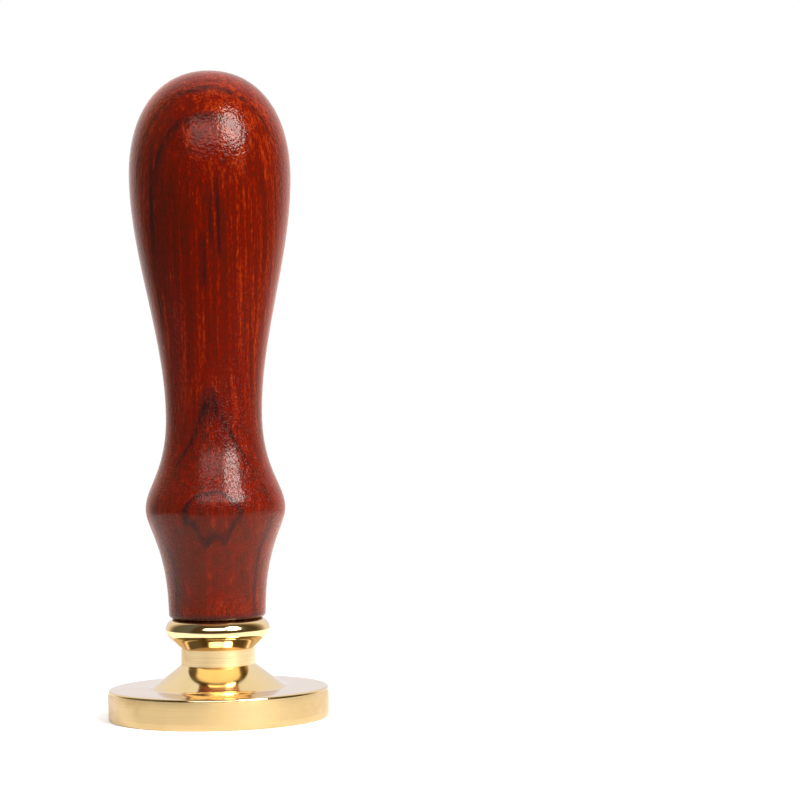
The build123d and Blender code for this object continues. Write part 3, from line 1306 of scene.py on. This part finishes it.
@dataclass
class Handle:
    """Turned wooden handle: domed grip, taper to a waist, raised ring and foot, with the stud's hole."""

    foot: float = 13.65
    length: float = 74.45
    grip_radius: float = 11.0
    grip_height: float = 60.1
    waist_radius: float = 6.55
    waist_height: float = 27.55
    ring_radius: float = 9.5
    ring_height: float = 14.85
    foot_radius: float = 6.6
    foot_round: float = 0.55
    bore_radius: float = 3.25
    bore_depth: float = 19.05
    bore_point_length: float = 4.0
    bore_point_radius: float = 0.55
    crown_flatness: float = 0.63
    crown_fullness: float = 0.594
    taper_ease: float = 1 / 3
    cove_ease_at_waist: float = 0.598
    cove_ease_at_ring: float = 0.244
    skirt_ease_at_ring: float = 0.172
    skirt_ease_at_foot: float = 0.63
    short_curve_points: int = 48
    long_curve_points: int = 64
    turns: int = 192

    @staticmethod
    def curve(low: Pair, high: Pair, ease_low: float, ease_high: float, count: int) -> np.ndarray:
        """Cubic curve between two points as (radius, height), upright at both.

        Args:
            low: Lower end.
            high: Upper end.
            ease_low: Share of the rise that the lower end's handle takes.
            ease_high: The same for the upper end.
            count: Number of points.

        Returns:
            Points of shape (count, 2).
        """
        rise = high[1] - low[1]
        handles = [(low[0], low[1] + rise * ease_low), (high[0], high[1] - rise * ease_high)]
        return cubic_points([low, *handles, high], count)

    def build(self) -> Skin:
        """Turn the handle from one outline: down the hole, over the foot, then up four cubic curves.

        Returns:
            The handle's surface.
        """
        foot, crown = self.foot, self.foot + self.length
        flat, heel = self.foot_radius - self.foot_round, (self.foot_radius, foot + self.foot_round)
        ring = (self.ring_radius, foot + self.ring_height)
        waist = (self.waist_radius, foot + self.waist_height)
        grip = (self.grip_radius, foot + self.grip_height)
        full = (grip[0], grip[1] + (crown - grip[1]) * self.crown_fullness)
        top, shoulder = foot + self.bore_depth, foot + self.bore_depth - self.bore_point_length
        bore, point = self.bore_radius, self.bore_point_radius
        short, long = self.short_curve_points, self.long_curve_points
        outline = (
            Outline()
            .cut(line_points((0.0, top), (point, top), 2))
            .cut(line_points((point, top), (bore, shoulder), 3))
            .cut(line_points((bore, shoulder), (bore, foot), 6))
            .cut(line_points((bore, foot), (flat, foot), 4))
            .cut(arc_points((flat, heel[1]), self.foot_round, -90, 90, 9))
            .cut(self.curve(heel, ring, self.skirt_ease_at_foot, self.skirt_ease_at_ring, short))
            .cut(self.curve(ring, waist, self.cove_ease_at_ring, self.cove_ease_at_waist, short))
            .cut(self.curve(waist, grip, self.taper_ease, self.taper_ease, long))
            .cut(cubic_points([grip, full, (grip[0] * self.crown_flatness, crown), (0.0, crown)], long))
        )
        return turned_skin(*outline.rings(self.turns), outline.finish)

    def dress(self) -> List[bpy.types.Material]:
        """The handle's one material."""
        return [LacqueredWood().material()]


# Studio


@dataclass(frozen=True)
class Panel:
    """Bright or dark panel of the studio, by the angles it covers as seen from the stamp.

    Azimuth 0 is the camera's side and +90 is +X. Angles are in degrees. Its outline has rounded
    corners: the fourth powers of the two distances from its middle add up to 1.
    """

    azimuth: float
    elevation: float
    width: float
    height: float
    radiance: float
    soft: float = 0.12
    tint: Colour = WHITE


@dataclass
class Studio:
    """White surroundings, darker in front, with two softboxes there and a pale floor."""

    surround: float = 1.4
    floor_radius: float = 0.205
    floor_sides: int = 96
    floor_drop: float = 2e-5
    panels: Tuple[Panel, ...] = (
        Panel(0, -8, 232, 166, 0.08, 0.2, (1.0, 0.72, 0.42, 1.0)),
        Panel(-85, 15, 50, 100, 0.14, 0.3),
        Panel(-2, 33, 52, 20, 5.2, 0.2),
        Panel(43, 36, 31, 29, 28.0),
    )

    def light(self) -> None:
        """Light the scene from the world: plain white to the camera, panels to everything else."""
        world = bpy.data.worlds.new("studio")
        world.use_nodes = True
        bpy.context.scene.world = world
        graph = Graph(world.node_tree)
        x, y, z = graph.add("ShaderNodeTexCoord", output="Generated").split()
        azimuth = graph.math("ARCTAN2", x, -y) * (180 / math.pi)
        elevation = graph.math("ARCSINE", z) * (180 / math.pi)
        camera = graph.add("ShaderNodeLightPath", output="Is Camera Ray")
        shown = camera.out("Is Glossy Ray") + camera.out("Is Transmission Ray")
        white = graph.math("MINIMUM", shown, 1.0)
        radiance = white * (1 - self.surround) + self.surround
        colour: Tint = WHITE
        for panel in self.panels:
            across = (azimuth - panel.azimuth) * (2 / panel.width)
            up = (elevation - panel.elevation) * (2 / panel.height)
            reach = graph.math("POWER", across * across, 2.0) + graph.math("POWER", up * up, 2.0)
            inside = reach.ramp((1 + panel.soft) ** 4, (1 - panel.soft) ** 4)
            radiance = inside * (panel.radiance - radiance) + radiance
            colour = graph.mix(inside, colour, panel.tint)
        strength = radiance * (1 - camera) + camera
        seen = graph.mix(camera, colour, WHITE)
        background = graph.add("ShaderNodeBackground", {}, {"Color": seen, "Strength": strength})
        graph.add("ShaderNodeOutputWorld", {}, {"Surface": background})

    def floor(self) -> bpy.types.Object:
        """Lay a round sheet of pale paper under the stamp: the points of a circle, in one flat face.

        Returns:
            The sheet's object.
        """
        sides = self.floor_sides
        angle = 2 * np.pi * np.arange(sides) / sides
        ring = np.stack([np.cos(angle), np.sin(angle), np.zeros(sides)], axis=1) * self.floor_radius
        mesh = bpy.data.meshes.new("floor")
        mesh.from_pydata((ring - (0, 0, self.floor_drop)).tolist(), [], [list(range(sides))])
        mesh.materials.append(PaleFloor().material())
        piece = bpy.data.objects.new("floor", mesh)
        bpy.context.scene.collection.objects.link(piece)
        return piece


@dataclass
class PhotoCamera:
    """Level camera on the -Y side, with the stamp left of the middle of its square picture."""

    place: Tuple[float, float, float] = (25.4, -340.0, 42.8)
    picture_width: float = 109.1
    roll_deg: float = -1.0
    sensor_width: float = 36.0
    clip: Pair = (0.01, 20.0)

    def add(self) -> None:
        """Add the camera and make it the scene's."""
        data = bpy.data.cameras.new("photo_camera")
        data.sensor_width = self.sensor_width
        data.lens = self.sensor_width * -self.place[1] / self.picture_width
        data.clip_start, data.clip_end = self.clip
        camera = bpy.data.objects.new("photo_camera", data)
        bpy.context.scene.collection.objects.link(camera)
        level = Matrix.Rotation(math.pi / 2, 4, "X") @ Matrix.Rotation(math.radians(self.roll_deg), 4, "Z")
        camera.matrix_world = Matrix.Translation([c * MM for c in self.place]) @ level
        bpy.context.scene.camera = camera


def main() -> None:
    """Build and dress each piece in order, then light it and set the camera."""
    logging.basicConfig(level=logging.INFO, format="%(name)s: %(message)s")
    pieces = (
        ("head", "turned_head", "brass", Head(), 25.0),
        ("stud", "threaded_stud", "steel", Stud(), 35.0),
        ("handle", "turned_handle", "lacquered_wood", Handle(), 35.0),
    )
    for node, name, slot, maker, crease in pieces:
        skin = maker.build()
        piece = skin.to_object(name, maker.dress(), crease)
        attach(piece, node)
        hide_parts(node)
        LOG.info("%s: %d points, %d faces", name, len(skin.points), len(skin.faces))
    studio = Studio()
    studio.light()
    studio.floor()
    PhotoCamera().add()
    bpy.context.scene.view_settings.view_transform = "Standard"


if __name__ == "__main__":
    main()
